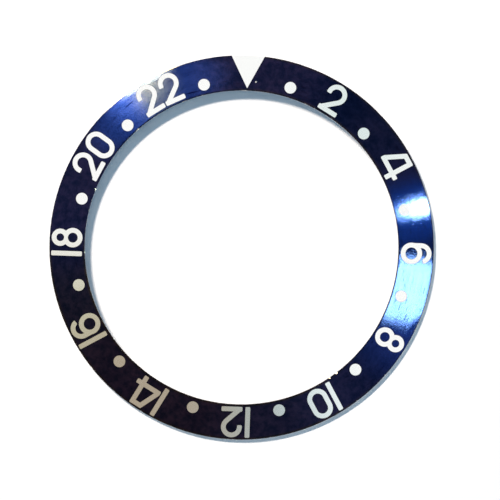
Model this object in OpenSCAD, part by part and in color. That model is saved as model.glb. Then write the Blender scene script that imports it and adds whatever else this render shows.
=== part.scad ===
// Dished 24-hour bezel insert for a watch: an aluminium ring with a blue face coat.
// A triangle marks 24, numerals mark the even hours and dots mark the odd hours.
// Millimetres. The axis is Z, the seat under the outer rim is Z = 0, and hour 24 is at +Y.

/* [Ring] */
// Outer diameter, which sits in the channel of the turning bezel
outer_d = 37.8; // [37:0.1:39]
// Diameter of the opening, which goes round the crystal
bore_d = 30.8; // [30:0.1:31.6]
// Height of the outer rim's wall
rim_h = 0.55; // [0.4:0.05:0.8]
// Height of the inner top edge above the outer top edge
dish_h = 0.85; // [0.4:0.05:1.2]
// Width of the flat seat under the outer rim
seat_w = 0.5; // [0.25:0.05:0.8]
// Bevel on the inner and outer top edges
edge_break = 0.06; // [0.03:0.01:0.08]

/* [Blue face] */
// Thickness of the blue coat
coat_t = 0.05; // [0.03:0.01:0.08]

/* [Markings] */
// Depth of each marking below the face
inlay_depth = 0.15; // [0.1:0.01:0.2]
// Gap between a marking and the wall of its pocket
inlay_gap = 0.02; // [0.01:0.005:0.03]
// Blue margin between the opening and the foot of a numeral, and the triangle's tip
foot_margin = 0.24; // [0.15:0.01:0.4]
// Blue margin between the head of a numeral and the outer edge
head_margin = 0.22; // [0.15:0.01:0.5]

/* [Numerals] */
// Height at which the digits are drawn. All the markings are scaled from it to suit the band.
drawn_h = 3.04; // [2.6:0.02:3.4]
// Width of the strokes
stroke_w = 0.47; // [0.35:0.01:0.55]
// Radius that softens the free ends of the strokes
end_r = 0.1; // [0.05:0.01:0.15]
// Width of the round digits
digit_w = 2.05; // [1.7:0.05:2.3]
// Width of the four, across its crossbar
four_w = 2.65; // [2.2:0.05:2.9]
// Gap between the two digits of a numeral, at half height
digit_gap = 0.3; // [0.25:0.01:0.5]

/* [Triangle and dots] */
// Width of the triangle at the outer edge
triangle_w = 3.35; // [2.5:0.05:4]
// Diameter of the dots
dot_d = 1.15; // [0.9:0.05:1.5]
// Distance from the opening to the middle of each dot
dot_inset = 1.0; // [0.9:0.05:1.6]

/* [Hidden] */
HOURS = 24;
EVEN_HOURS = [2:2:HOURS - 2];
ODD_HOURS = [1:2:HOURS - 1];
$fn = 96;

metal_colour = [0.78, 0.80, 0.83];
coat_colour = [0.07, 0.09, 0.24];
marking_colour = [0.94, 0.95, 0.93];

// How far a cutting shape runs past what it cuts
over = 0.5;

outer_r = outer_d / 2;
bore_r = bore_d / 2;
slope = dish_h / (outer_r - bore_r);

// The markings are as tall as the band lets them be, unless a wide numeral would then come too near a dot
least_gap = 0.2;
foot_r = bore_r + foot_margin;
room_h = outer_r - head_margin - foot_r;
room_w = 2 * (2 * PI * foot_r / HOURS - least_gap);
marking_scale = min(room_h / drawn_h, room_w / (2 * digit_w + digit_gap + dot_d));
digit_mid_r = foot_r + room_h / 2;
dot_r = bore_r + dot_inset * marking_scale;

// Height of the sloping face at a radius, without the edge bevels
function face_z(r) = rim_h + slope * (outer_r - r);

// Profile of the face from the opening to the rim, lowered by a depth
function face_line(depth) = [
    [bore_r, face_z(bore_r) - edge_break - depth],
    [bore_r + edge_break, face_z(bore_r + edge_break) - depth],
    [outer_r - edge_break, face_z(outer_r - edge_break) - depth],
    [outer_r, face_z(outer_r) - edge_break - depth]
];

function backwards(list) = [for (i = [len(list) - 1:-1:0]) list[i]];

// The strokes of a digit. A digit stands on y = 0, is centred on x = 0 and is drawn_h high.
// Its outline can be grown all round by g, which makes the pocket that holds it.

round_r = digit_w / 2;
stroke_mid = stroke_w / 2;
round_mid_r = round_r - stroke_mid;
// Flat steps round the bowl of a digit, and round a softened corner
bowl_steps = 24;
corner_steps = 3;

// Points round c from angle start to angle end
function arc_points(c, r, start, end, steps) = [for (i = [0:steps])
    let (a = start + (end - start) * i / steps) c + r * [cos(a), sin(a)]];

// An anticlockwise outline with its outward corners rounded by r
function softened(corners, r) = [for (i = [0:len(corners) - 1])
    let (
        last = corners[(i + len(corners) - 1) % len(corners)],
        here = corners[i],
        next = corners[(i + 1) % len(corners)],
        heading = atan2(here.y - last.y, here.x - last.x),
        turn = (atan2(next.y - here.y, next.x - here.x) - heading + 540) % 360 - 180,
        setback = r * tan(turn / 2),
        c = here - setback * [cos(heading), sin(heading)] + r * [-sin(heading), cos(heading)]
    )
    each turn > 0 ? arc_points(c, r, heading - 90, heading - 90 + turn, corner_steps) : [here]];

// A straight stroke with free ends at a and b
module bar(a, b, g) {
    along = b - a;
    half = stroke_mid + g;
    length = norm(along);
    translate(a) rotate(atan2(along.y, along.x))
        polygon(softened([[-g, -half], [length + g, -half], [length + g, half], [-g, half]], end_r + g));
}

// A stroke along places of x, y and heading. Its first end is free, and its last runs into another stroke.
module stroke(places, g) {
    half = stroke_mid + g;
    r = end_r + g;
    function ahead(p, d) = d * [cos(p.z), sin(p.z)];
    function beside(p, d) = [p.x, p.y] + d * [-sin(p.z), cos(p.z)];
    tip = places[0];
    polygon(concat(
        arc_points(beside(tip, half - r) + ahead(tip, r - g), r, tip.z + 90, tip.z + 180, corner_steps),
        arc_points(beside(tip, r - half) + ahead(tip, r - g), r, tip.z + 180, tip.z + 270, corner_steps),
        [for (i = [1:len(places) - 1]) beside(places[i], -half)],
        [for (i = [len(places) - 1:-1:1]) beside(places[i], half)]
    ));
}

// Places along an arc about c, for a stroke that runs from angle start to angle end
function arc_places(c, r, start, end) = [for (i = [0:bowl_steps])
    let (a = start + (end - start) * i / bowl_steps, heading = a + (end > start ? 90 : -90))
    [c.x + r * cos(a), c.y + r * sin(a), heading]];

// A rectangle with fully round ends, centred on the middle of the digit
module stadium(width, height) {
    r = width / 2;
    up = height / 2 - r;
    translate([0, drawn_h / 2]) polygon(concat(
        arc_points([0, up], r, 0, 180, bowl_steps),
        arc_points([0, -up], r, 180, 360, bowl_steps)
    ));
}

module zero(g) {
    difference() {
        stadium(digit_w + 2 * g, drawn_h + 2 * g);
        stadium(digit_w - 2 * (stroke_w + g), drawn_h - 2 * (stroke_w + g));
    }
}

module one(g) {
    bar([0, 0], [0, drawn_h], g);
}

// One stroke makes the hook, bowl and diagonal, and a bar makes the foot
module two(g) {
    hook_drop = 0.2;
    c = [0, drawn_h - round_r];
    heel = [0.55 * stroke_w - round_r, stroke_mid];
    to_c = c - heel;
    // The diagonal leaves the bowl where a line from the heel is tangent to it
    lean = atan2(to_c.y, to_c.x) - asin(round_mid_r / norm(to_c));
    stroke(concat(
        [[-round_mid_r, c.y - hook_drop, 90]],
        arc_places(c, round_mid_r, 180, lean - 90),
        [[heel.x, heel.y, lean + 180]]
    ), g);
    bar([-round_r, stroke_mid], [round_r, stroke_mid], g);
}

// The diagonal runs from the left end of the crossbar to a blunt apex, and a short top joins it to the stem
module four(g) {
    crossbar_y = 0.27 * drawn_h;
    left = -0.54 * four_w;
    right = left + four_w;
    stem_x = 0.21 * four_w;
    apex_x = -0.19 * four_w;
    heel_y = crossbar_y + stroke_w / 3;
    half = stroke_mid + g;
    lean = atan2(drawn_h - heel_y, apex_x - left);
    // Where the diagonal crosses a height, at a distance in from its outer edge
    function diagonal_at(y, inset) = [left + (y - heel_y) / tan(lean) + inset / sin(lean), y];
    difference() {
        polygon(softened([
            [stem_x - half, -g],
            [stem_x + half, -g],
            [stem_x + half, crossbar_y - half],
            [right + g, crossbar_y - half],
            [right + g, crossbar_y + half],
            [stem_x + half, crossbar_y + half],
            [stem_x + half, drawn_h + g],
            diagonal_at(drawn_h + g, -g),
            [left - g, heel_y + g / cos(lean) - g * tan(lean)],
            [left - g, crossbar_y - half],
            [stem_x - half, crossbar_y - half]
        ], end_r + g));
        polygon([
            [stem_x - half, crossbar_y + half],
            [stem_x - half, drawn_h - stroke_w - g],
            diagonal_at(drawn_h - stroke_w - g, stroke_w + g),
            diagonal_at(crossbar_y + half, stroke_w + g)
        ]);
    }
}

// The bowl is a little wider than the stroke that rises from it
module six(g) {
    tip_angle = 12;
    bowl_r = round_r + 0.03;
    top = [0, drawn_h - round_r];
    difference() {
        union() {
            stroke(concat(
                arc_places(top, round_mid_r, tip_angle, 180),
                [[-round_mid_r, bowl_r, -90]]
            ), g);
            translate([0, bowl_r]) circle(bowl_r + g);
        }
        translate([0, bowl_r]) circle(bowl_r - stroke_w - g);
    }
}

module eight(g) {
    waist = 0.8 * stroke_w;
    both_r = (drawn_h + 2 * stroke_w - waist) / 2;
    low_r = 0.53 * both_r;
    high_r = both_r - low_r;
    difference() {
        union() {
            translate([0, low_r]) circle(low_r + g);
            translate([0, drawn_h - high_r]) circle(high_r + g);
        }
        translate([0, low_r]) circle(low_r - stroke_w - g);
        translate([0, drawn_h - high_r]) circle(high_r - stroke_w - g);
    }
}

module digit(n, g) {
    if (n == 0) zero(g);
    if (n == 1) one(g);
    if (n == 2) two(g);
    if (n == 4) four(g);
    if (n == 6) six(g);
    if (n == 8) eight(g);
}

// Room that a digit takes to the left and right of its middle. The four's crossbar overhangs.
function left_w(n) = n == 1 ? stroke_mid : n == 4 ? 0.48 * four_w : round_r;
function right_w(n) = n == 1 ? stroke_mid : n == 4 ? 0.335 * four_w : round_r;

// A digit with its foot towards the opening, x to the right of the hour line
module upright_digit(n, x, g) {
    translate([0, digit_mid_r]) scale(marking_scale) translate([x, -drawn_h / 2]) digit(n, g / marking_scale);
}

// The same, but turned to face the middle of the ring from where it stands
module turned_digit(n, x, g) {
    rotate(-x * marking_scale / digit_mid_r * 180 / PI) upright_digit(n, 0, g);
}

// Digits beside a narrow one stand parallel, and the wide pairs from 20 on are turned one by one
module numeral_outline(hour, g = 0) {
    tens = floor(hour / 10);
    ones = hour % 10;
    total_w = left_w(tens) + right_w(tens) + digit_gap + left_w(ones) + right_w(ones);
    tens_x = left_w(tens) - total_w / 2;
    ones_x = total_w / 2 - right_w(ones);
    rotate(-hour * 360 / HOURS) {
        if (tens == 0)
            upright_digit(ones, 0, g);
        if (tens == 1) {
            upright_digit(tens, tens_x, g);
            upright_digit(ones, ones_x, g);
        }
        if (tens == 2) {
            turned_digit(tens, tens_x, g);
            turned_digit(ones, ones_x, g);
        }
    }
}

module dot_outline(hour, g = 0) {
    rotate(-hour * 360 / HOURS) translate([0, dot_r]) circle(dot_d / 2 * marking_scale + g);
}

// The base runs past the rim, so that the rim trims it
module triangle_outline(g = 0) {
    half_angle = atan(triangle_w / 2 * marking_scale / (outer_r - foot_r));
    tip_y = foot_r - g / sin(half_angle);
    base_y = outer_r + over;
    half_base = (base_y - tip_y) * tan(half_angle);
    polygon([[0, tip_y], [half_base, base_y], [-half_base, base_y]]);
}

module all_outlines(g) {
    triangle_outline(g);
    for (hour = EVEN_HOURS) numeral_outline(hour, g);
    for (hour = ODD_HOURS) dot_outline(hour, g);
}

// What an outline takes up between the pocket floor and the face
module inlay() {
    color(marking_colour) intersection() {
        linear_extrude(rim_h + dish_h + over) children();
        rotate_extrude() polygon(concat(face_line(0), [
            [outer_r, face_z(outer_r) - inlay_depth],
            [bore_r, face_z(bore_r) - inlay_depth]
        ]));
    }
}

// The pockets in the metal, with a floor parallel to the face
module pockets() {
    top_z = rim_h + dish_h + over;
    inside = bore_r - over;
    outside = outer_r + over;
    intersection() {
        linear_extrude(top_z) all_outlines(inlay_gap);
        rotate_extrude() polygon([
            [inside, face_z(inside) - inlay_depth],
            [inside, top_z],
            [outside, top_z],
            [outside, face_z(outside) - inlay_depth]
        ]);
    }
}

// Aluminium ring: dished, with a flat seat under the rim and a pocket for each marking
module ring() {
    color(metal_colour) difference() {
        rotate_extrude() polygon(concat(face_line(coat_t), [
            [outer_r, 0],
            [outer_r - seat_w, 0],
            [bore_r, slope * (outer_r - seat_w - bore_r)]
        ]));
        pockets();
    }
}

// Blue coat over the face and its edge bevels, with a window for each marking
module blue_face() {
    color(coat_colour) difference() {
        rotate_extrude() polygon(concat(face_line(0), backwards(face_line(coat_t))));
        linear_extrude(rim_h + dish_h + over) all_outlines(inlay_gap);
    }
}

ring();
blue_face();
inlay() triangle_outline();
for (hour = EVEN_HOURS)
    inlay() numeral_outline(hour);
for (hour = ODD_HOURS)
    inlay() dot_outline(hour);
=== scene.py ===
"""Looks of a watch's 24-hour bezel insert: its finishes, and the light, floor and camera round it.

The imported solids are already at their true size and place, so a sub-assembly's class only dresses its
nodes. Lengths are metres unless a name says mm, and the frame is the part's own: +Z up, hour 24 at +Y,
the hours clockwise seen from above.
"""

import logging
import math
from dataclasses import dataclass
from enum import Enum
from functools import reduce

import bpy
from mathutils import Matrix, Vector

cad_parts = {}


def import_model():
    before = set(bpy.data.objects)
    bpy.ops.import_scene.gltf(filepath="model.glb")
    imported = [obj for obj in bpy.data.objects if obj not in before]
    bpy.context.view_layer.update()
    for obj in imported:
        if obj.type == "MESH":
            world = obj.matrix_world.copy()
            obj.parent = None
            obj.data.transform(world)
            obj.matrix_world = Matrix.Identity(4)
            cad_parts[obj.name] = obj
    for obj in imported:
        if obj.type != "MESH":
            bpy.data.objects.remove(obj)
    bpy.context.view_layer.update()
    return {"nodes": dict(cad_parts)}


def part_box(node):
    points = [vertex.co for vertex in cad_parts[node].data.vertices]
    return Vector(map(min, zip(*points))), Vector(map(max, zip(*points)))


LOG = logging.getLogger("bezel_insert")
MM = 0.001
HOURS = 24

Socket = bpy.types.NodeSocket
Number = float | Socket
Colour = tuple[float, float, float]
Span = tuple[float, float]

WHITE: Colour = (1.0, 1.0, 1.0)


class Slot(Enum):
    """The record's material slots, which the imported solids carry."""

    BARE = "bare_aluminium"
    COAT = "blue_coat"
    MARKING = "marking_white"


def hour_angle(hour: float) -> float:
    """Return the angle of an hour in radians, anticlockwise from +X, where 6 is."""
    return math.radians(90 - hour * 360 / HOURS)


def outward(angle: float) -> Vector:
    """Return the level unit vector that points from the axis at an angle in radians."""
    return Vector((math.cos(angle), math.sin(angle), 0.0))


def leaning(angle: float, tilt: float) -> Vector:
    """Return the unit vector that leans by a tilt from straight up towards an angle, both in radians."""
    return outward(angle) * math.sin(tilt) + Vector((0, 0, math.cos(tilt)))


def turned_to(right: Vector, up: Vector, back: Vector) -> Matrix:
    """Return the turn that lays an object's own X, Y and Z along three directions."""
    return Matrix((right, up, back)).transposed().to_4x4()


def set_up(data: bpy.types.ID, place: Vector, turn: Matrix) -> bpy.types.Object:
    """Add a camera or a lamp to the scene.

    Args:
        data: Its data, whose name it takes.
        place: Where it stands.
        turn: How it is turned.

    Returns:
        Its object.
    """
    made = bpy.data.objects.new(data.name, data)
    made.matrix_world = Matrix.Translation(place) @ turn
    bpy.context.scene.collection.objects.link(made)
    return made


@dataclass(frozen=True)
class RingForm:
    """The ring's main sizes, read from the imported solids.

    Attributes:
        outer_r: Radius of the rim.
        bore_r: Radius of the opening.
        rim_z: Height of the face at the rim, without the bevel.
        top_z: Height of the face at the opening, without the bevel.
        bevel: Width of the bevel on the two top edges.
    """

    outer_r: float
    bore_r: float
    rim_z: float
    top_z: float
    bevel: float = 0.06 * MM

    @classmethod
    def from_frame(cls, coat_t: float = 0.05 * MM, foot_margin: float = 0.24 * MM) -> "RingForm":
        """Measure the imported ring, its coat and the triangle.

        Args:
            coat_t: Thickness of the blue coat.
            foot_margin: How far the triangle's tip stays from the opening.

        Returns:
            The ring's form.
        """
        coat_low, coat_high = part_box("blue_face")
        tip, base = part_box("triangle_24")
        outer_r = base.y
        bore_r = tip.y - foot_margin
        rim_z = coat_low.z + cls.bevel + coat_t
        rise = (coat_high.z - rim_z) / (outer_r - bore_r - cls.bevel)
        return cls(outer_r, bore_r, rim_z, rim_z + rise * (outer_r - bore_r))

    @property
    def band(self) -> float:
        """Return the width of the face."""
        return self.outer_r - self.bore_r

    @property
    def tilt(self) -> float:
        """Return the angle by which the face slopes down outwards."""
        return math.atan2(self.top_z - self.rim_z, self.band)

    def face_point(self, angle: float, share: float) -> Vector:
        """Give a point on the face.

        Args:
            angle: Angle round the ring in radians.
            share: 0 at the opening and 1 at the rim.

        Returns:
            The point in the part's frame.
        """
        spot = outward(angle) * (self.bore_r + share * self.band)
        spot.z = self.top_z + share * (self.rim_z - self.top_z)
        return spot


class Graph:
    """Short calls that add nodes to one node tree and join them.

    Attributes:
        tree: The node tree being filled.
    """

    def __init__(self, tree: bpy.types.NodeTree) -> None:
        """Start on a tree."""
        self.tree = tree

    def add(self, kind: str, **settings: object) -> bpy.types.Node:
        """Add a node.

        Args:
            kind: The node's type name, without the ShaderNode at its start.
            **settings: Properties of the node to set.

        Returns:
            The new node.
        """
        node = self.tree.nodes.new("ShaderNode" + kind)
        for name, value in settings.items():
            setattr(node, name, value)
        return node

    def feed(self, socket: Socket, value: object) -> None:
        """Link a socket to an input, or set a plain value on it.

        Args:
            socket: The input.
            value: An output socket, a number, a vector or a colour.
        """
        if isinstance(value, bpy.types.NodeSocket):
            self.tree.links.new(value, socket)
        elif socket.type == "RGBA":
            socket.default_value = (*value, 1.0)
        else:
            socket.default_value = value

    def fill(self, node: bpy.types.Node, *values: object) -> bpy.types.Node:
        """Feed a node's inputs in order.

        Args:
            node: The node.
            *values: What they get.

        Returns:
            The same node.
        """
        for socket, value in zip(node.inputs, values):
            self.feed(socket, value)
        return node

    def supply(self, node: bpy.types.Node, **values: object) -> bpy.types.Node:
        """Feed a node's inputs by name.

        Args:
            node: The node.
            **values: What they get, with underscores for the spaces in their names.

        Returns:
            The same node.
        """
        for name, value in values.items():
            self.feed(node.inputs[name.replace("_", " ")], value)
        return node

    def use(self, group: bpy.types.NodeTree, **values: float) -> bpy.types.bpy_prop_collection:
        """Place a node group, feed its inputs by name and return its outputs."""
        return self.supply(self.add("Group", node_tree=group), **values).outputs

    def math(self, operation: str, *values: Number) -> Socket:
        """Return what a Math node of an operation makes of its inputs."""
        return self.fill(self.add("Math", operation=operation), *values).outputs[0]

    def times(self, *values: Number) -> Socket:
        """Return the product of numbers."""
        return reduce(lambda one, other: self.math("MULTIPLY", one, other), values)

    def most(self, *values: Number) -> Socket:
        """Return the largest of some numbers."""
        return reduce(lambda one, other: self.math("MAXIMUM", one, other), values)

    def minus(self, one: Number, other: Number) -> Socket:
        """Return a number less another."""
        return self.math("SUBTRACT", one, other)

    def vector(self, operation: str, *values: object) -> Socket:
        """Return the vector that a Vector Math node of an operation makes of its inputs."""
        return self.fill(self.add("VectorMath", operation=operation), *values).outputs["Vector"]

    def gauge(self, operation: str, *values: object) -> Socket:
        """Return the number that such a node makes, with LENGTH or DOT_PRODUCT."""
        return self.fill(self.add("VectorMath", operation=operation), *values).outputs["Value"]

    def scaled(self, vector: Socket, factor: Number) -> Socket:
        """Return a vector times a number."""
        node = self.add("VectorMath", operation="SCALE")
        return self.supply(node, Vector=vector, Scale=factor).outputs["Vector"]

    def split(self, vector: Socket) -> tuple[Socket, Socket, Socket]:
        """Return the three parts of a vector."""
        return tuple(self.fill(self.add("SeparateXYZ"), vector).outputs)

    def join(self, x: Number, y: Number, z: Number) -> Socket:
        """Return the vector made of three numbers."""
        return self.fill(self.add("CombineXYZ"), x, y, z).outputs[0]

    def raised(self, level: Socket, height: Number) -> Socket:
        """Return a level vector raised by a height."""
        return self.vector("ADD", level, self.join(0.0, 0.0, height))

    def mix(self, factor: Number, low: object, high: object, kind: str = "FLOAT") -> Socket:
        """Return a number, or with VECTOR a vector, between two others, by a factor from 0 to 1."""
        node = self.add("Mix", data_type=kind)
        return self.supply(node, Factor=factor, A=low, B=high).outputs["Result"]

    def tint(self, factor: Number, low: Socket | Colour, high: Socket | Colour) -> Socket:
        """Return a colour between two others, by a factor from 0 to 1."""
        return self.mix(factor, low, high, "RGBA")

    def cover(self, factor: Number, low: Socket, high: Socket) -> Socket:
        """Return a shader between two others, by a factor from 0 to 1."""
        return self.fill(self.add("MixShader"), factor, low, high).outputs[0]

    def carry(self, normal: Socket, start: str, end: str) -> Socket:
        """Return a normal carried from one space, WORLD or OBJECT, to the other."""
        node = self.add("VectorTransform", vector_type="NORMAL", convert_from=start, convert_to=end)
        return self.fill(node, normal).outputs[0]

    def ease(
        self, value: Number, start: Number, end: Number, low: float = 0.0, high: float = 1.0
    ) -> Socket:
        """Return a smooth step from a low result, where a number is at the start, to a high one."""
        node = self.add("MapRange", interpolation_type="SMOOTHSTEP")
        return self.fill(node, value, start, end, low, high).outputs[0]

    def fall(self, value: Number, start: Number, end: Number) -> Socket:
        """Return a smooth step down, from 1 at the start to 0 at the end."""
        return self.ease(value, start, end, 1.0, 0.0)

    def noise(self, place: Socket, scale: Number, detail: float, rough: float = 0.5) -> Socket:
        """Return a noise round 0.5, by its cells per unit, its finer layers and their strength."""
        node = self.add("TexNoise")
        return self.supply(node, Vector=place, Scale=scale, Detail=detail, Roughness=rough).outputs[0]

    def end(self, kind: str, surface: Socket) -> None:
        """Join a shader to the output node of a Material, a World or a Light."""
        self.supply(self.add("Output" + kind), Surface=surface)


def fresh_tree(owner: bpy.types.ID) -> bpy.types.NodeTree:
    """Turn on nodes and clear away the ones that come with them.

    Args:
        owner: A material, a world or a lamp's data.

    Returns:
        Its node tree, now empty.
    """
    owner.use_nodes = True
    owner.node_tree.nodes.clear()
    return owner.node_tree


class GroupGraph(Graph):
    """The graph of a shader node group, whose inputs are numbers.

    Attributes:
        takes: The sockets that bring its inputs, by name.
    """

    def __init__(self, name: str, takes: dict[str, float]) -> None:
        """Start a group.

        Args:
            name: Its name.
            takes: Names of its inputs, with what each is unless a material sets it.
        """
        super().__init__(bpy.data.node_groups.new(name, "ShaderNodeTree"))
        for label, value in takes.items():
            entry = self.tree.interface.new_socket(label, in_out="INPUT", socket_type="NodeSocketFloat")
            entry.default_value = value
        self.takes = self.tree.nodes.new("NodeGroupInput").outputs

    def close(self, **gives: Socket) -> bpy.types.NodeTree:
        """Give the group its outputs.

        Args:
            **gives: Each output's name and what feeds it.

        Returns:
            The group's tree.
        """
        for label, socket in gives.items():
            kind = "NodeSocketVector" if socket.type == "VECTOR" else "NodeSocketFloat"
            self.tree.interface.new_socket(label, in_out="OUTPUT", socket_type=kind)
        self.supply(self.tree.nodes.new("NodeGroupOutput"), **gives)
        return self.tree


class SharedEffects:
    """The node groups that more than one finish uses, each built once.

    Attributes:
        form: The ring's sizes.
        bore: Radius of the opening in mm.
        rim: Radius of the rim in mm.
        places: Gives where a point lies on the ring.
        turned_normal: Gives the true normal of the sloping surfaces.
        turning_marks: Gives the fine lines that the lathe and the brush leave.
        grain: Gives a fine even speckle.
        edge_wear_and_painted_light: Gives where the two top edges have been handled, and the bands along
            them that carry painted shade and a painted highlight.
        pockets: Gives the narrow seams round the markings.
    """

    def __init__(self, form: RingForm) -> None:
        """Build every group for a ring.

        Args:
            form: The ring's sizes.
        """
        self.form = form
        self.bore = form.bore_r / MM
        self.rim = form.outer_r / MM
        self.places = self._places()
        self.turned_normal = self._turned_normal()
        self.turning_marks = self._turning_marks()
        self.grain = self._grain()
        self.edge_wear_and_painted_light = self._edge_wear()
        self.pockets = self._pockets()

    def _places(self) -> bpy.types.NodeTree:
        """Build the group that gives the place on the ring, in millimetres.

        Returns:
            The group.
        """
        graph = GroupGraph("places_on_ring", {})
        place = graph.scaled(graph.add("TexCoord").outputs["Object"], 1 / MM)
        x, y, z = graph.split(place)
        level = graph.join(x, y, 0.0)
        out = graph.vector("NORMALIZE", level)
        return graph.close(Place=place, Outward=out, Radius=graph.gauge("LENGTH", level), Height=z)

    def _turned_normal(self) -> bpy.types.NodeTree:
        """Build the group that gives the normal of the sloping face and of the underside behind it.

        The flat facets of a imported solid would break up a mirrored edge, so the slope's normal comes from
        its formula. Everything else keeps its own normal.

        Returns:
            The group. Its crown and rolls are angles in radians.
        """
        graph = GroupGraph("turned_normal", {"Crown": 0.0, "Rim roll": 0.0, "Bore roll": 0.0})
        takes = graph.takes
        rim_reach, bore_reach = 0.8, 0.12
        places = graph.use(self.places)
        radius = places["Radius"]
        geometry = graph.add("NewGeometry").outputs
        own = graph.carry(geometry["Normal"], "WORLD", "OBJECT")
        facing = graph.split(graph.carry(geometry["True Normal"], "WORLD", "OBJECT"))[2]
        middle = (self.rim + self.bore) / 2
        beyond = graph.math("DIVIDE", graph.minus(radius, middle), self.form.band / 2 / MM)
        near_rim = graph.ease(radius, self.rim - rim_reach, self.rim)
        near_bore = graph.fall(radius, self.bore, self.bore + bore_reach)
        rolled = graph.times(near_rim, takes["Rim roll"])
        rolled = graph.minus(rolled, graph.times(near_bore, takes["Bore roll"]))
        crowned = graph.math("MULTIPLY_ADD", beyond, takes["Crown"], self.form.tilt)
        tilt = graph.math("ADD", crowned, rolled)
        lean = graph.scaled(places["Outward"], graph.math("SINE", tilt))
        slope = graph.raised(lean, graph.math("COSINE", tilt))
        least_face, most_slope = 0.9, 0.99
        on_face = graph.math("GREATER_THAN", facing, least_face)
        down = graph.math("LESS_THAN", facing, -least_face)
        under = graph.times(down, graph.math("GREATER_THAN", facing, -most_slope))
        normal = graph.mix(on_face, own, slope, "VECTOR")
        normal = graph.mix(under, normal, graph.scaled(slope, -1.0), "VECTOR")
        return graph.close(Normal=graph.carry(normal, "OBJECT", "WORLD"), Face=on_face)

    def _turning_marks(self) -> bpy.types.NodeTree:
        """Build the group that gives fine lines round the ring.

        Returns:
            The group. Its height lies round 0.5, its line runs between 0 and 1 and back for each line, and
            its dashes are 1 on sparse short scratches.
        """
        graph = GroupGraph(
            "turning_marks",
            {"Lines per mm": 40.0, "Streaks per mm": 5.0, "Streaks round": 4.0, "Unevenness": 0.3},
        )
        takes = graph.takes
        sways_round, sway_lines = 6.0, 3.0
        dash_round, dash_across = 2.5, 1.6
        places = graph.use(self.places)
        radius = places["Radius"]
        round_it = graph.scaled(places["Outward"], takes["Streaks round"])
        across = graph.times(radius, takes["Streaks per mm"])
        streak = graph.noise(graph.raised(round_it, across), 1.0, detail=3.0, rough=0.6)
        sway = graph.noise(graph.scaled(places["Outward"], sways_round), 1.0, detail=1.0)
        drift = graph.times(sway, sway_lines)
        count = graph.math("MULTIPLY_ADD", radius, takes["Lines per mm"], drift)
        line = graph.times(graph.math("PINGPONG", count, 0.5), 2.0)
        shift = graph.times(graph.minus(streak, 0.5), takes["Unevenness"])
        dash_place = graph.raised(graph.scaled(round_it, dash_round), graph.times(across, dash_across))
        dashes = graph.ease(graph.noise(dash_place, 1.0, detail=1.0), start=0.66, end=0.74)
        return graph.close(Height=streak, Line=graph.math("ADD", line, shift), Dashes=dashes)

    def _grain(self) -> bpy.types.NodeTree:
        """Build the group that gives a fine speckle.

        Returns:
            The group, whose values lie round 0.5.
        """
        graph = GroupGraph("fine_grain", {"Grains per mm": 8.0, "Patches per mm": 0.55})
        place = graph.use(self.places)["Place"]
        fine = graph.noise(place, graph.takes["Grains per mm"], detail=2.0, rough=0.6)
        patches = graph.noise(place, graph.takes["Patches per mm"], detail=2.0, rough=0.55)
        return graph.close(Height=fine, Patches=patches)

    def _edge_wear(self) -> bpy.types.NodeTree:
        """Build the group that finds the handled edges, broken up by noise, and the bands along both edges
        that carry painted shade and a painted highlight.

        Returns:
            The group. Its wear is 0 away from both edges and up to 1 on them, broken into patches. Its
            edges and rim are not broken: the first takes in both edges, the second only the outer one.
        """
        graph = GroupGraph("edge_wear_and_painted_light", {"Reach mm": 0.08, "Amount": 0.5, "Patches per mm": 1.3})
        takes = graph.takes
        # Noise above which a spot is worn at amount 0, its fall at amount 1, and the width of the step.
        level, fall, softness = 0.75, 0.4, 0.08
        places = graph.use(self.places)
        from_bore = graph.minus(places["Radius"], self.bore)
        from_rim = graph.minus(self.rim, places["Radius"])
        near = graph.fall(graph.math("MINIMUM", from_bore, from_rim), 0.0, takes["Reach mm"])
        broken = graph.noise(places["Place"], takes["Patches per mm"], detail=3.0, rough=0.7)
        start = graph.minus(level, graph.times(takes["Amount"], fall))
        kept = graph.ease(broken, start, graph.math("ADD", start, softness))
        on_rim = graph.fall(from_rim, 0.0, takes["Reach mm"])
        return graph.close(Wear=graph.times(near, kept), Edges=near, Rim=on_rim)

    def _pockets(self) -> bpy.types.NodeTree:
        """Build the group that finds the floors and walls of the pockets, and the markings' own walls,
        where the finishes paint shade.

        Returns:
            The group. Its seam is 1 just below the face, where a surface does not look up along the face's
            normal or lies deeper than the coat, and 0 on the ring's outer wall and bore.
        """
        graph = GroupGraph("pockets", {"Deepest mm": 0.2, "Coat mm": 0.045})
        bevel = 0.09
        places = graph.use(self.places)
        from_bore = graph.minus(places["Radius"], self.bore)
        slope = math.tan(self.form.tilt)
        face_height = graph.math("MULTIPLY_ADD", from_bore, -slope, self.form.top_z / MM)
        below = graph.minus(face_height, places["Height"])
        side = graph.minus(1.0, graph.use(self.turned_normal)["Face"])
        deep = graph.math("GREATER_THAN", below, graph.takes["Coat mm"])
        shallow = graph.math("LESS_THAN", below, graph.takes["Deepest mm"])
        inside = graph.math("GREATER_THAN", from_bore, bevel)
        within = graph.math("LESS_THAN", places["Radius"], self.rim - bevel)
        return graph.close(Seam=graph.times(graph.most(side, deep), shallow, inside, within))


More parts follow.
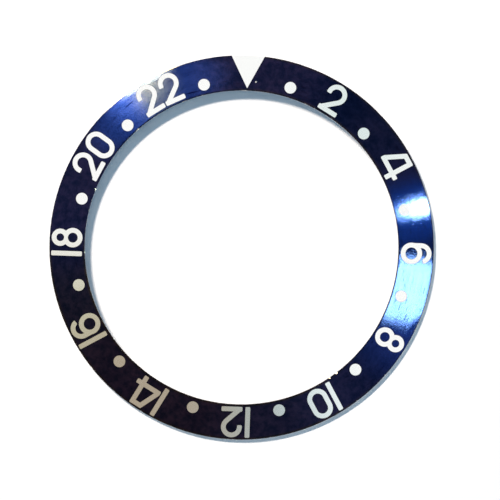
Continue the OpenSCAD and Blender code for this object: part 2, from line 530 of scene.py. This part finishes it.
class MetalGraph(Graph):
    """The graph of a metal finish, with its Principled shader.

    Attributes:
        effects: The shared node groups.
        material: The material that it fills.
        shader: The shader's node.
    """

    def __init__(self, name: str, effects: SharedEffects) -> None:
        """Start a material.

        Args:
            name: Its name.
            effects: The shared node groups.
        """
        self.effects = effects
        self.material = bpy.data.materials.new(name)
        super().__init__(fresh_tree(self.material))
        self.shader = self.supply(self.add("BsdfPrincipled"), Metallic=1.0)
        self.end("Material", self.shader.outputs[0])

    def surface(self, colour: Socket, seam_shade: Colour, roughness: Socket) -> None:
        """Feed the shader's roughness and its colour, which turns to a painted shade on the seams round the
        markings.
        """
        seam = self.use(self.effects.pockets)["Seam"]
        self.supply(self.shader, Base_Color=self.tint(seam, colour, seam_shade), Roughness=roughness)

    def relief(self, height: Socket, normal: Socket, strength: float) -> None:
        """Bend the shader's normal by a height's relief, of a strength up to 1."""
        bump = self.supply(self.add("Bump"), Strength=strength, Distance=0.01 * MM, Height=height)
        self.supply(self.shader, Normal=self.supply(bump, Normal=normal).outputs[0])

    def brush(self, stretch: float) -> None:
        """Stretch highlights across lines that run round the ring, by a share up to 1."""
        round_it = self.add("Tangent", direction_type="RADIAL", axis="Z").outputs[0]
        self.supply(self.shader, Tangent=round_it, Anisotropic=stretch, Anisotropic_Rotation=0.25)


@dataclass(frozen=True)
class Stretch:
    """A stretch of hours round the ring, over which something changes.

    Attributes:
        hour: The hour at its middle.
        reach: How many hours it runs to either side.
        core: How many hours to either side have its full strength.
        strength: Its full strength, up to 1.
    """

    hour: float
    reach: float
    core: float
    strength: float

    def build(self, graph: Graph, out: Socket) -> Socket:
        """Add the nodes that give its strength.

        Args:
            graph: The graph of the material or the world.
            out: The unit vector from the ring's axis.

        Returns:
            The output socket, from 0 to the strength.
        """
        towards = graph.gauge("DOT_PRODUCT", out, outward(hour_angle(self.hour)))
        start, end = (math.cos(hours * math.tau / HOURS) for hours in (self.reach, self.core))
        return graph.ease(towards, start, end, 0.0, self.strength)


@dataclass(frozen=True)
class Chip:
    """A speck where the coat is chipped to the metal.

    Attributes:
        hour: Where it lies round the ring.
        radius_mm: How far it lies from the axis.
        size_mm: Its width.
        edge: Distances from its middle between which it ends, as shares of its width.
    """

    hour: float
    radius_mm: float
    size_mm: float
    edge: Span = (0.35, 0.6)

    def build(self, graph: Graph, place: Socket) -> Socket:
        """Add the nodes that give 1 on the speck.

        Args:
            graph: The material's graph.
            place: The place on the ring in millimetres.

        Returns:
            The output socket, from 0 to 1.
        """
        x, y, _ = graph.split(place)
        middle = outward(hour_angle(self.hour)) * self.radius_mm
        off = graph.vector("SUBTRACT", graph.join(x, y, 0.0), middle)
        return graph.fall(graph.gauge("LENGTH", off), *(self.size_mm * share for share in self.edge))


@dataclass(frozen=True)
class AnodisedBlue:
    """The dyed coat on the face: clear brush lines between hazy ones, whose blue is deeper.

    Attributes:
        clear_dye: Colour that the clear lines reflect.
        deep_dye: Colour that the hazy lines reflect.
        light_patch: Share of each part of the dye's colour in its lightest small patches.
        dark_patch: Share of each in its darkest ones.
        dim_reflection_dye: Colour towards which the dye turns at some hours, a painted reflection of the
            dim, warm surroundings that the face mirrors there.
        edge_shade_dye: Colour towards which the dye turns near both edges, a painted brownish shade.
        seam_shade: Painted shade on the cut walls round the markings.
        wear_and_glint_colour: Colour where the coat is worn or chipped to the metal, and of the painted
            highlight on the rim's bevel.
        painted_stretches: Where the dye turns towards the painted reflection.
        edge_shade_stretches: Where the painted shade shows along the edges.
        clean: Where the small patches are faint.
        rim_glint: Where the bevel at the rim shows bare metal, a painted highlight.
        chips: Where the coat is chipped.
        clear: Roughness of the clear lines.
        hazy: Roughness of the hazy lines.
        worn: Roughness where the coat is worn or chipped, and on the painted rim highlight.
        crown: How far the slope changes from the middle to an edge, in radians.
        rim_roll: How much steeper the slope gets at the rim, in radians.
        bore_roll: How far the slope rolls over at the opening, in radians.
        stretch: How far highlights stretch across the brush lines.
    """

    clear_dye: Colour = (0.0084, 0.0138, 0.0500)
    deep_dye: Colour = (0.0001, 0.0010, 0.0115)
    light_patch: Colour = (1.36, 1.20, 1.14)
    dark_patch: Colour = (0.50, 0.68, 0.76)
    dim_reflection_dye: Colour = (0.0280, 0.0225, 0.0580)
    edge_shade_dye: Colour = (0.0270, 0.0195, 0.0130)
    seam_shade: Colour = (0.004, 0.004, 0.006)
    wear_and_glint_colour: Colour = (0.66, 0.65, 0.66)
    painted_stretches: tuple[Stretch, ...] = (
        Stretch(13.4, 4.9, 1.2, 1.0),
        Stretch(0.3, 1.8, 0.5, 0.45),
        Stretch(3.5, 1.1, 0.3, 0.25),
        Stretch(19.2, 1.5, 0.6, 0.4),
    )
    edge_shade_stretches: tuple[Stretch, ...] = (Stretch(13.6, 5.2, 3.0, 0.9), Stretch(2.0, 2.9, 1.6, 0.6))
    clean: tuple[Stretch, ...] = (Stretch(6.2, 2.8, 1.7, 0.92), Stretch(21.4, 2.0, 1.1, 0.65))
    rim_glint: Stretch = Stretch(21.75, 1.0, 0.7, 1.0)
    chips: tuple[Chip, ...] = (Chip(0.197, 16.31, 0.17), Chip(9.40, 15.44, 0.22), Chip(9.60, 15.45, 0.16))
    clear: float = 0.05
    hazy: float = 0.17
    worn: float = 0.4
    crown: float = math.radians(1.4)
    rim_roll: float = math.radians(3.0)
    bore_roll: float = math.radians(30.0)
    stretch: float = 0.95

    def build(self, effects: SharedEffects) -> bpy.types.Material:
        """Make the material.

        Args:
            effects: The shared node groups.

        Returns:
            The material.
        """
        graph = MetalGraph("anodised_blue", effects)
        marks = graph.use(effects.turning_marks, Lines_per_mm=40.0, Streaks_per_mm=5.0, Unevenness=0.45)
        grain = graph.use(effects.grain, Grains_per_mm=9.0)
        bent = graph.use(
            effects.turned_normal, Crown=self.crown, Rim_roll=self.rim_roll, Bore_roll=self.bore_roll
        )
        haze = graph.most(graph.ease(marks["Line"], start=0.42, end=0.58), marks["Dashes"])
        bare = self._bare(graph, bent["Face"])
        colour = graph.tint(bare, self._dye(graph, haze, grain["Patches"]), self.wear_and_glint_colour)
        sheen = graph.mix(haze, self.clear, self.hazy)
        # The seams round the markings turn to a painted shade.
        graph.surface(colour, self.seam_shade, graph.mix(bare, sheen, self.worn))
        graph.relief(grain["Height"], bent["Normal"], strength=0.2)
        graph.brush(self.stretch)
        return graph.material

    def _dye(self, graph: MetalGraph, haze: Socket, noise: Socket) -> Socket:
        """Add the nodes that give the dye's colour, with a painted reflection at some hours and a painted
        shade along both edges.

        Args:
            graph: The material's graph.
            haze: 0 on the clear lines and 1 on the hazy ones.
            noise: The broad noise that breaks up the painted reflection.

        Returns:
            The output socket.
        """
        places = graph.use(graph.effects.places)
        dye = graph.tint(haze, self.clear_dye, self.deep_dye)
        # Breaks the painted reflection of the dim surroundings up into patches.
        reflection_breakup = graph.ease(noise, start=0.3, end=0.7, low=0.55)
        # Bands along both edges, which carry the painted brownish shade.
        edges = graph.use(graph.effects.edge_wear_and_painted_light, Reach_mm=0.32)["Edges"]
        # The dye turns towards the painted reflection at some hours, and towards the painted shade along
        # both edges.
        for painted_stretches, where, colour in (
            (self.painted_stretches, reflection_breakup, self.dim_reflection_dye),
            (self.edge_shade_stretches, edges, self.edge_shade_dye),
        ):
            for painted_stretch in painted_stretches:
                dye = graph.tint(graph.times(painted_stretch.build(graph, places["Outward"]), where), dye, colour)
        mottle = graph.noise(places["Place"], scale=1.6, detail=4.0, rough=0.7)
        patches = graph.ease(mottle, start=0.35, end=0.65)
        between = 0.5
        for stretch in self.clean:
            patches = graph.mix(stretch.build(graph, places["Outward"]), patches, between)
        return graph.vector("MULTIPLY", dye, graph.tint(patches, self.light_patch, self.dark_patch))

    def _bare(self, graph: MetalGraph, face: Socket) -> Socket:
        """Add the nodes that find where the coat is worn or chipped to the metal, and where the rim's bevel
        shows bare metal as a painted highlight.

        Args:
            graph: The material's graph.
            face: 1 on the face and 0 on its bevels.

        Returns:
            The output socket, 1 on bare metal.
        """
        places = graph.use(graph.effects.places)
        # Real wear on the handled edges, and the rim band that the painted highlight uses.
        handled = graph.use(graph.effects.edge_wear_and_painted_light, Reach_mm=0.07, Amount=0.35)
        on_rim = graph.math("GREATER_THAN", handled["Rim"], 0.0)
        # Painted highlight: the rim's bevel shows bare metal over the hours where it glints.
        here = self.rim_glint.build(graph, places["Outward"])
        glint_mask = graph.times(here, graph.minus(1.0, face), on_rim)
        chipped = (chip.build(graph, places["Place"]) for chip in self.chips)
        return graph.most(handled["Wear"], glint_mask, *chipped)


@dataclass(frozen=True)
class TurnedAluminium:
    """The bare metal of the walls, the pockets and the underside, with lathe lines.

    Attributes:
        metal: Its colour.
        dull: Its colour where it has dulled.
        pocket_shade: Painted shade in the pockets that hold the markings.
        smooth: Roughness on the lathe lines.
        rough: Roughness between them.
    """

    metal: Colour = (0.80, 0.81, 0.82)
    dull: Colour = (0.60, 0.60, 0.60)
    pocket_shade: Colour = (0.010, 0.010, 0.012)
    smooth: float = 0.24
    rough: float = 0.42

    def build(self, effects: SharedEffects) -> bpy.types.Material:
        """Make the material.

        Args:
            effects: The shared node groups.

        Returns:
            The material.
        """
        graph = MetalGraph("turned_aluminium", effects)
        marks = graph.use(effects.turning_marks, Lines_per_mm=12.0, Streaks_per_mm=9.0, Unevenness=0.9)
        dulled = graph.ease(graph.use(effects.grain)["Patches"], start=0.42, end=0.68)
        roughness = graph.mix(marks["Line"], self.smooth, self.rough)
        # The pockets turn to a painted shade.
        graph.surface(graph.tint(dulled, self.metal, self.dull), self.pocket_shade, roughness)
        graph.relief(marks["Height"], graph.use(effects.turned_normal)["Normal"], strength=0.25)
        graph.brush(stretch=0.6)
        return graph.material


@dataclass(frozen=True)
class SilverMarking:
    """The silvery fill of the triangle, numerals and dots.

    Attributes:
        silver: Its colour.
        grey: Its colour in the darker patches.
        rim_tone: Its colour on the ring's outer edge, which only the triangle reaches.
        pocket_wall_shade: Painted shade on its walls down in the pockets.
        smooth: Its roughness at its clearest.
        rough: Its roughness at its haziest.
    """

    silver: Colour = (1.0, 1.0, 0.985)
    grey: Colour = (0.97, 0.97, 0.945)
    rim_tone: Colour = (0.80, 0.79, 0.68)
    pocket_wall_shade: Colour = (0.020, 0.020, 0.022)
    smooth: float = 0.17
    rough: float = 0.27

    def build(self, effects: SharedEffects) -> bpy.types.Material:
        """Make the material.

        Args:
            effects: The shared node groups.

        Returns:
            The material.
        """
        graph = MetalGraph("silver_marking", effects)
        marks = graph.use(effects.turning_marks, Lines_per_mm=14.0, Streaks_per_mm=7.0, Streaks_round=16.0)
        grain = graph.use(effects.grain, Grains_per_mm=14.0)["Height"]
        rim = graph.use(effects.edge_wear_and_painted_light, Reach_mm=0.06)["Rim"]
        fill = graph.tint(graph.ease(grain, start=0.35, end=0.75), self.silver, self.grey)
        roughness = graph.mix(marks["Line"], self.smooth, self.rough)
        # The walls down in the pockets turn to a painted shade.
        graph.surface(graph.tint(rim, fill, self.rim_tone), self.pocket_wall_shade, roughness)
        graph.relief(grain, graph.use(effects.turned_normal)["Normal"], strength=0.3)
        return graph.material


Finish = AnodisedBlue | TurnedAluminium | SilverMarking


def marking_names() -> tuple[str, ...]:
    """Return the markings' names in the order of the hours, from dot_1 to triangle_24."""
    by_hour = [f"dot_{hour}" if hour % 2 else f"numeral_{hour}" for hour in range(1, HOURS)]
    return (*by_hour, f"triangle_{HOURS}")


@dataclass
class Assembly:
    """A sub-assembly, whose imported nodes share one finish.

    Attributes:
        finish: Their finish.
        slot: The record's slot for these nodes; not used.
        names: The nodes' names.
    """

    finish: Finish
    slot: Slot
    names: tuple[str, ...]

    def dress(self, nodes: dict[str, bpy.types.Object], effects: SharedEffects) -> None:
        """Give each node its finish and log it.

        Args:
            nodes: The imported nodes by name.
            effects: The shared node groups.
        """
        material = self.finish.build(effects)
        for node in (nodes[name] for name in self.names):
            node.data.materials.clear()
            node.data.materials.append(material)
            LOG.info("%s: %s", node.name, material.name)


@dataclass
class RingBlank(Assembly):
    """The dished aluminium ring that carries the coat and the markings."""

    finish: TurnedAluminium = TurnedAluminium()
    slot: Slot = Slot.BARE
    names: tuple[str, ...] = ("ring",)


@dataclass
class FaceCoat(Assembly):
    """The blue coat over the face, with its windows and the islands inside the closed digits."""

    finish: AnodisedBlue = AnodisedBlue()
    slot: Slot = Slot.COAT
    names: tuple[str, ...] = ("blue_face",)


@dataclass
class HourMarkings(Assembly):
    """The triangle at 24, the numerals at the even hours and the dots at the odd hours."""

    finish: SilverMarking = SilverMarking()
    slot: Slot = Slot.MARKING
    names: tuple[str, ...] = marking_names()


@dataclass
class TopCamera:
    """The camera, which looks straight down on the ring.

    Attributes:
        height: How far above the face it stands.
        frame_w: Width that its frame takes in at the face.
        aside: How far to the picture's right of the ring's middle it looks.
        below: How far down the picture from the ring's middle it looks.
        turn: How far the ring is turned clockwise in the picture, in radians.
        sensor_mm: Width of its sensor.
        clip: Its nearest and furthest sight, as shares of its height.
    """

    height: float = 0.6
    frame_w: float = 49.19 * MM
    aside: float = 0.83 * MM
    below: float = 0.25 * MM
    turn: float = math.radians(2.0)
    sensor_mm: float = 36.0
    clip: Span = (0.05, 30.0)

    @property
    def picture_right(self) -> Vector:
        """Return the direction in the part's frame that runs to the right in the picture."""
        return outward(self.turn)

    @property
    def picture_up(self) -> Vector:
        """Return the direction in the part's frame that runs up the picture."""
        return outward(self.turn + math.pi / 2)

    @property
    def place(self) -> Vector:
        """Return where the camera stands."""
        spot = self.picture_right * self.aside - self.picture_up * self.below
        return spot + Vector((0, 0, self.height))

    def build(self) -> None:
        """Make the camera and choose it for the scene."""
        lens = bpy.data.cameras.new("top_camera")
        lens.sensor_width = self.sensor_mm
        lens.lens = self.sensor_mm * self.height / self.frame_w
        lens.clip_start, lens.clip_end = (self.height * share for share in self.clip)
        turn = turned_to(self.picture_right, self.picture_up, Vector((0, 0, 1)))
        bpy.context.scene.camera = set_up(lens, self.place, turn)


@dataclass(frozen=True, kw_only=True)
class Lamp:
    """A flat lamp that faces the ring.

    Attributes:
        name: Its name.
        depth: Its size away from the ring's axis.
        colour: Its colour.
        distance: How far away it stands.
        roll: How far it is turned about the line to the ring, in radians.
        rounded: Whether it is an ellipse and not a rectangle.
        fades: Shares of its width over which it fades out, at its first hour and at its last.
        low_fade: Share of its depth over which it fades out towards straight up.
    """

    name: str
    depth: float
    colour: Colour = WHITE
    distance: float = 1.0
    roll: float = 0.0
    rounded: bool = False
    fades: Span = (0.0, 0.0)
    low_fade: float = 0.0

    def hang(
        self, aim: Vector, angle: float, zenith: float, width: float, watts: float
    ) -> bpy.types.Object:
        """Make the lamp.

        Args:
            aim: The point that it faces and is placed from.
            angle: Angle round the ring at which it stands, in radians.
            zenith: Angle from straight up, in radians.
            width: Its size along the ring.
            watts: Its power.

        Returns:
            The lamp's object.
        """
        lamp = bpy.data.lights.new(self.name, "AREA")
        lamp.shape = "ELLIPSE" if self.rounded else "RECTANGLE"
        lamp.size, lamp.size_y = width, self.depth
        lamp.energy = watts
        lamp.color = self.colour
        if any(self.fades) or self.low_fade:
            self._fade(lamp)
        away = leaning(angle, zenith)
        across = outward(angle + math.pi / 2)
        turn = turned_to(across, away.cross(across), away) @ Matrix.Rotation(self.roll, 4, "Z")
        return set_up(lamp, aim + away * self.distance, turn)

    def _fade(self, lamp: bpy.types.AreaLight) -> None:
        """Make the lamp's light fade out towards its ends.

        Args:
            lamp: The lamp's data.
        """
        graph = Graph(fresh_tree(lamp))
        along, up, _ = graph.split(graph.add("NewGeometry").outputs["Parametric"])
        least = 1e-3
        first, last, low = (max(share, least) for share in (*self.fades, self.low_fade))
        start = graph.fall(along, 1.0 - first, 1.0)
        end = graph.ease(along, 0.0, last)
        strength = graph.times(start, end, graph.fall(up, 1.0 - low, 1.0))
        graph.end("Light", graph.supply(graph.add("Emission"), Strength=strength).outputs[0])


@dataclass(frozen=True, kw_only=True)
class Softbox(Lamp):
    """A lamp that lights the ring and the floor.

    Attributes:
        angle: Angle round the ring at which it stands, in radians.
        zenith: Angle from straight up, in radians.
        width: Its size along the ring.
        watts: Its power.
    """

    angle: float
    zenith: float
    width: float
    watts: float

    def build(self) -> bpy.types.Object:
        """Make the lamp and return its object."""
        return self.hang(Vector((0, 0, 0)), self.angle, self.zenith, self.width, self.watts)


@dataclass(frozen=True, kw_only=True)
class MirroredPanel(Lamp):
    """A lamp that the face mirrors to the camera between two hours.

    Attributes:
        first_hour: The hour at which its image starts.
        last_hour: The hour at which its image ends.
        low_share: Where on the face its image starts, 0 at the opening and 1 at the rim.
        radiance: How bright it is, where white is 1.
    """

    first_hour: float
    last_hour: float
    low_share: float
    radiance: float

    def build(self, form: RingForm, camera: TopCamera, crown: float) -> bpy.types.Object:
        """Make the lamp where the face mirrors it.

        Args:
            form: The ring's sizes.
            camera: The camera that sees the image.
            crown: How far the face's slope changes from its middle to an edge, in radians.

        Returns:
            The lamp's object.
        """
        middle = hour_angle((self.first_hour + self.last_hour) / 2)
        spot = form.face_point(middle, self.low_share)
        normal = leaning(middle, form.tilt + crown * (2 * self.low_share - 1))
        to_camera = (camera.place - spot).normalized()
        mirrored = 2 * to_camera.dot(normal) * normal - to_camera
        angle = math.atan2(mirrored.y, mirrored.x)
        zenith = math.acos(mirrored.z) + self.depth / 2 / self.distance
        span = (self.last_hour - self.first_hour) * math.tau / HOURS
        width = 2 * math.tan(span * math.sin(zenith) / 2) * self.distance
        area = width * self.depth * (math.pi / 4 if self.rounded else 1.0)
        return self.hang(spot, angle, zenith, width, self.radiance * math.pi * area)


def background_rays(graph: Graph, rays: bpy.types.bpy_prop_collection) -> Socket:
    """Return 1 for the rays that see or mirror the background, and 0 for the rest."""
    return graph.most(rays["Is Camera Ray"], rays["Is Glossy Ray"], rays["Is Transmission Ray"])


@dataclass(frozen=True)
class PaleFloor:
    """The floor, which keeps the ring's shadow and turns plain white further away.

    Attributes:
        radius: Its radius.
        drop: How far it lies under the seat.
        colour: Its colour for the light that it throws on the ring.
        seen_colour: Its colour where it is seen or mirrored.
    """

    radius: float = 3.0
    drop: float = 0.01 * MM
    colour: Colour = (0.8, 0.8, 0.8)
    seen_colour: Colour = (1.1, 1.1, 1.1)

    def build(self) -> None:
        """Make the floor. A camera below it looks through it."""
        bpy.ops.mesh.primitive_circle_add(
            vertices=128, radius=self.radius, fill_type="NGON", location=(0, 0, -self.drop)
        )
        floor = bpy.context.object
        floor.name = "floor"
        material = bpy.data.materials.new("pale_floor")
        graph = Graph(fresh_tree(material))
        rays = graph.add("LightPath").outputs
        seen = background_rays(graph, rays)
        colour = graph.tint(seen, self.colour, self.seen_colour)
        lit = graph.supply(graph.add("BsdfDiffuse"), Color=colour).outputs[0]
        away = graph.gauge("LENGTH", graph.add("TexCoord").outputs["Object"])
        far = graph.times(graph.ease(away, start=0.035, end=0.11), seen)
        paper = graph.cover(far, lit, graph.add("Emission").outputs[0])
        backfacing = graph.add("NewGeometry").outputs["Backfacing"]
        from_below = graph.times(backfacing, rays["Is Camera Ray"])
        clear = graph.add("BsdfTransparent").outputs[0]
        graph.end("Material", graph.cover(from_below, paper, clear))
        floor.data.materials.append(material)


@dataclass(frozen=True)
class Cast:
    """A stretch of the surroundings with a faint colour.

    Attributes:
        where: Its hours.
        colour: Its colour.
    """

    where: Stretch
    colour: Colour


@dataclass(frozen=True)
class Surroundings:
    """The white world round the floor, with shaded stretches that bright metal mirrors.

    Attributes:
        ambient: Soft light from all round, which is the colour of the shadow.
        shade_hour: The hour at the middle of the wide shaded stretch.
        shade_first: The shade's colour at its anticlockwise end.
        shade: Its colour at its middle.
        shade_last: Its colour at its clockwise end.
        casts: The narrow faint stretches.
    """

    ambient: Colour = (0.16, 0.26, 0.36)
    shade_hour: float = 14.0
    shade_first: Colour = (0.35, 0.42, 0.43)
    shade: Colour = (0.40, 0.325, 0.24)
    shade_last: Colour = (0.55, 0.54, 0.36)
    casts: tuple[Cast, ...] = (
        Cast(Stretch(2.75, 1.45, 0.7, 1.0), (0.66, 0.78, 0.77)),
        Cast(Stretch(10.15, 1.05, 0.3, 1.0), (0.85, 0.98, 1.0)),
    )

    def build(self) -> None:
        """Make the world: white where it is seen or mirrored, and soft blue-grey light elsewhere."""
        world = bpy.data.worlds.new("white_studio")
        bpy.context.scene.world = world
        graph = Graph(fresh_tree(world))
        rays = graph.add("LightPath").outputs
        x, y, z = graph.split(graph.add("TexCoord").outputs["Generated"])
        way = graph.vector("NORMALIZE", graph.join(x, y, 0.0))
        middle = hour_angle(self.shade_hour)
        towards = graph.gauge("DOT_PRODUCT", way, outward(middle))
        sideways = graph.gauge("DOT_PRODUCT", way, outward(middle - math.pi / 2))
        from_first = graph.ease(sideways, start=-0.7, end=-0.25)
        to_last = graph.ease(sideways, start=0.3, end=0.75)
        shade = graph.tint(from_first, self.shade_first, self.shade)
        shade = graph.tint(to_last, shade, self.shade_last)
        beside = graph.ease(towards, start=0.45, end=0.74)
        above = graph.ease(z, start=0.35, end=0.6)
        mirrored = graph.tint(graph.times(beside, above), WHITE, shade)
        for cast in self.casts:
            tinged = graph.times(cast.where.build(graph, way), above)
            mirrored = graph.vector("MULTIPLY", mirrored, graph.tint(tinged, WHITE, cast.colour))
        mirrored = graph.tint(rays["Is Camera Ray"], mirrored, WHITE)
        light = graph.tint(background_rays(graph, rays), self.ambient, mirrored)
        graph.end("World", graph.supply(graph.add("Background"), Color=light).outputs[0])


@dataclass
class Studio:
    """The floor, the surroundings and the lamps.

    Attributes:
        form: The ring's sizes.
        camera: The camera that the mirrored panels are set for.
        crown: How far the face's slope changes from its middle to an edge, in radians.
        face: The node that alone mirrors the panels.
        floor: The floor.
        surroundings: What lies round the floor.
        key: The main softbox.
        panels: The lamps whose images show on the face.
    """

    form: RingForm
    camera: TopCamera
    crown: float
    face: bpy.types.Object
    floor: PaleFloor = PaleFloor()
    surroundings: Surroundings = Surroundings()
    key: Softbox = Softbox(
        name="key_softbox",
        angle=math.radians(128.5),
        zenith=math.radians(38.8),
        width=0.20,
        depth=0.09,
        watts=10.2,
        colour=(1.0, 0.881, 0.774),
    )
    panels: tuple[MirroredPanel, ...] = (
        MirroredPanel(
            name="wide_panel", first_hour=6.13, last_hour=7.46, low_share=-0.25, depth=0.235,
            radiance=195.0, colour=(0.76, 0.93, 0.6), roll=math.radians(5.0),
        ),
        MirroredPanel(
            name="wide_haze", first_hour=7.4, last_hour=9.1, low_share=-0.25, depth=0.27,
            radiance=4.0, colour=(0.4, 0.65, 1.0), fades=(0.0, 0.9),
        ),
        MirroredPanel(
            name="narrow_panel", first_hour=4.92, last_hour=5.14, low_share=0.19, depth=0.25,
            radiance=1500.0, colour=(0.64, 0.72, 0.45), rounded=True,
        ),
        MirroredPanel(
            name="narrow_haze", first_hour=4.2, last_hour=5.9, low_share=-0.25, depth=0.27,
            radiance=4.0, colour=(0.05, 0.5, 1.0), fades=(0.4, 0.2),
        ),
        MirroredPanel(
            name="haze_panel", first_hour=19.9, last_hour=23.7, low_share=-0.2, depth=0.26,
            radiance=5.0, colour=(0.42, 0.74, 1.0), fades=(0.25, 0.25),
        ),
        MirroredPanel(
            name="cool_panel", first_hour=20.7, last_hour=21.65, low_share=-0.2, depth=0.26,
            radiance=32.0, colour=(0.7, 0.92, 1.0), fades=(0.75, 0.15), low_fade=0.6,
        ),
        MirroredPanel(
            name="warm_panel", first_hour=21.3, last_hour=22.55, low_share=0.0, depth=0.24,
            radiance=140.0, colour=(1.0, 0.59, 0.095), fades=(0.35, 0.65), low_fade=0.45,
        ),
        MirroredPanel(
            name="rim_panel", first_hour=21.2, last_hour=22.5, low_share=1.45, depth=0.10,
            radiance=220.0, colour=(1.0, 0.65, 0.17), fades=(0.2, 0.3),
        ),
    )

    def build(self) -> None:
        """Make the floor, the world and the lamps."""
        self.floor.build()
        self.surroundings.build()
        self.key.build().visible_glossy = False
        lit_by_panels = bpy.data.collections.new("lit_by_panels")
        lit_by_panels.objects.link(self.face)
        for panel in self.panels:
            lamp = panel.build(self.form, self.camera, self.crown)
            lamp.light_linking.receiver_collection = lit_by_panels
        bpy.context.scene.view_settings.view_transform = "Standard"


def main() -> None:
    """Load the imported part, dress its nodes, and build the studio and the camera round it."""
    logging.basicConfig(level=logging.INFO, format="%(name)s: %(message)s")
    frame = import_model()
    form = RingForm.from_frame()
    camera = TopCamera()
    camera.build()
    effects = SharedEffects(form)
    nodes = frame["nodes"]
    face = FaceCoat()
    for assembly in (RingBlank(), face, HourMarkings()):
        assembly.dress(nodes, effects)
    Studio(form, camera, face.finish.crown, nodes[face.names[0]]).build()


if __name__ == "__main__":
    main()
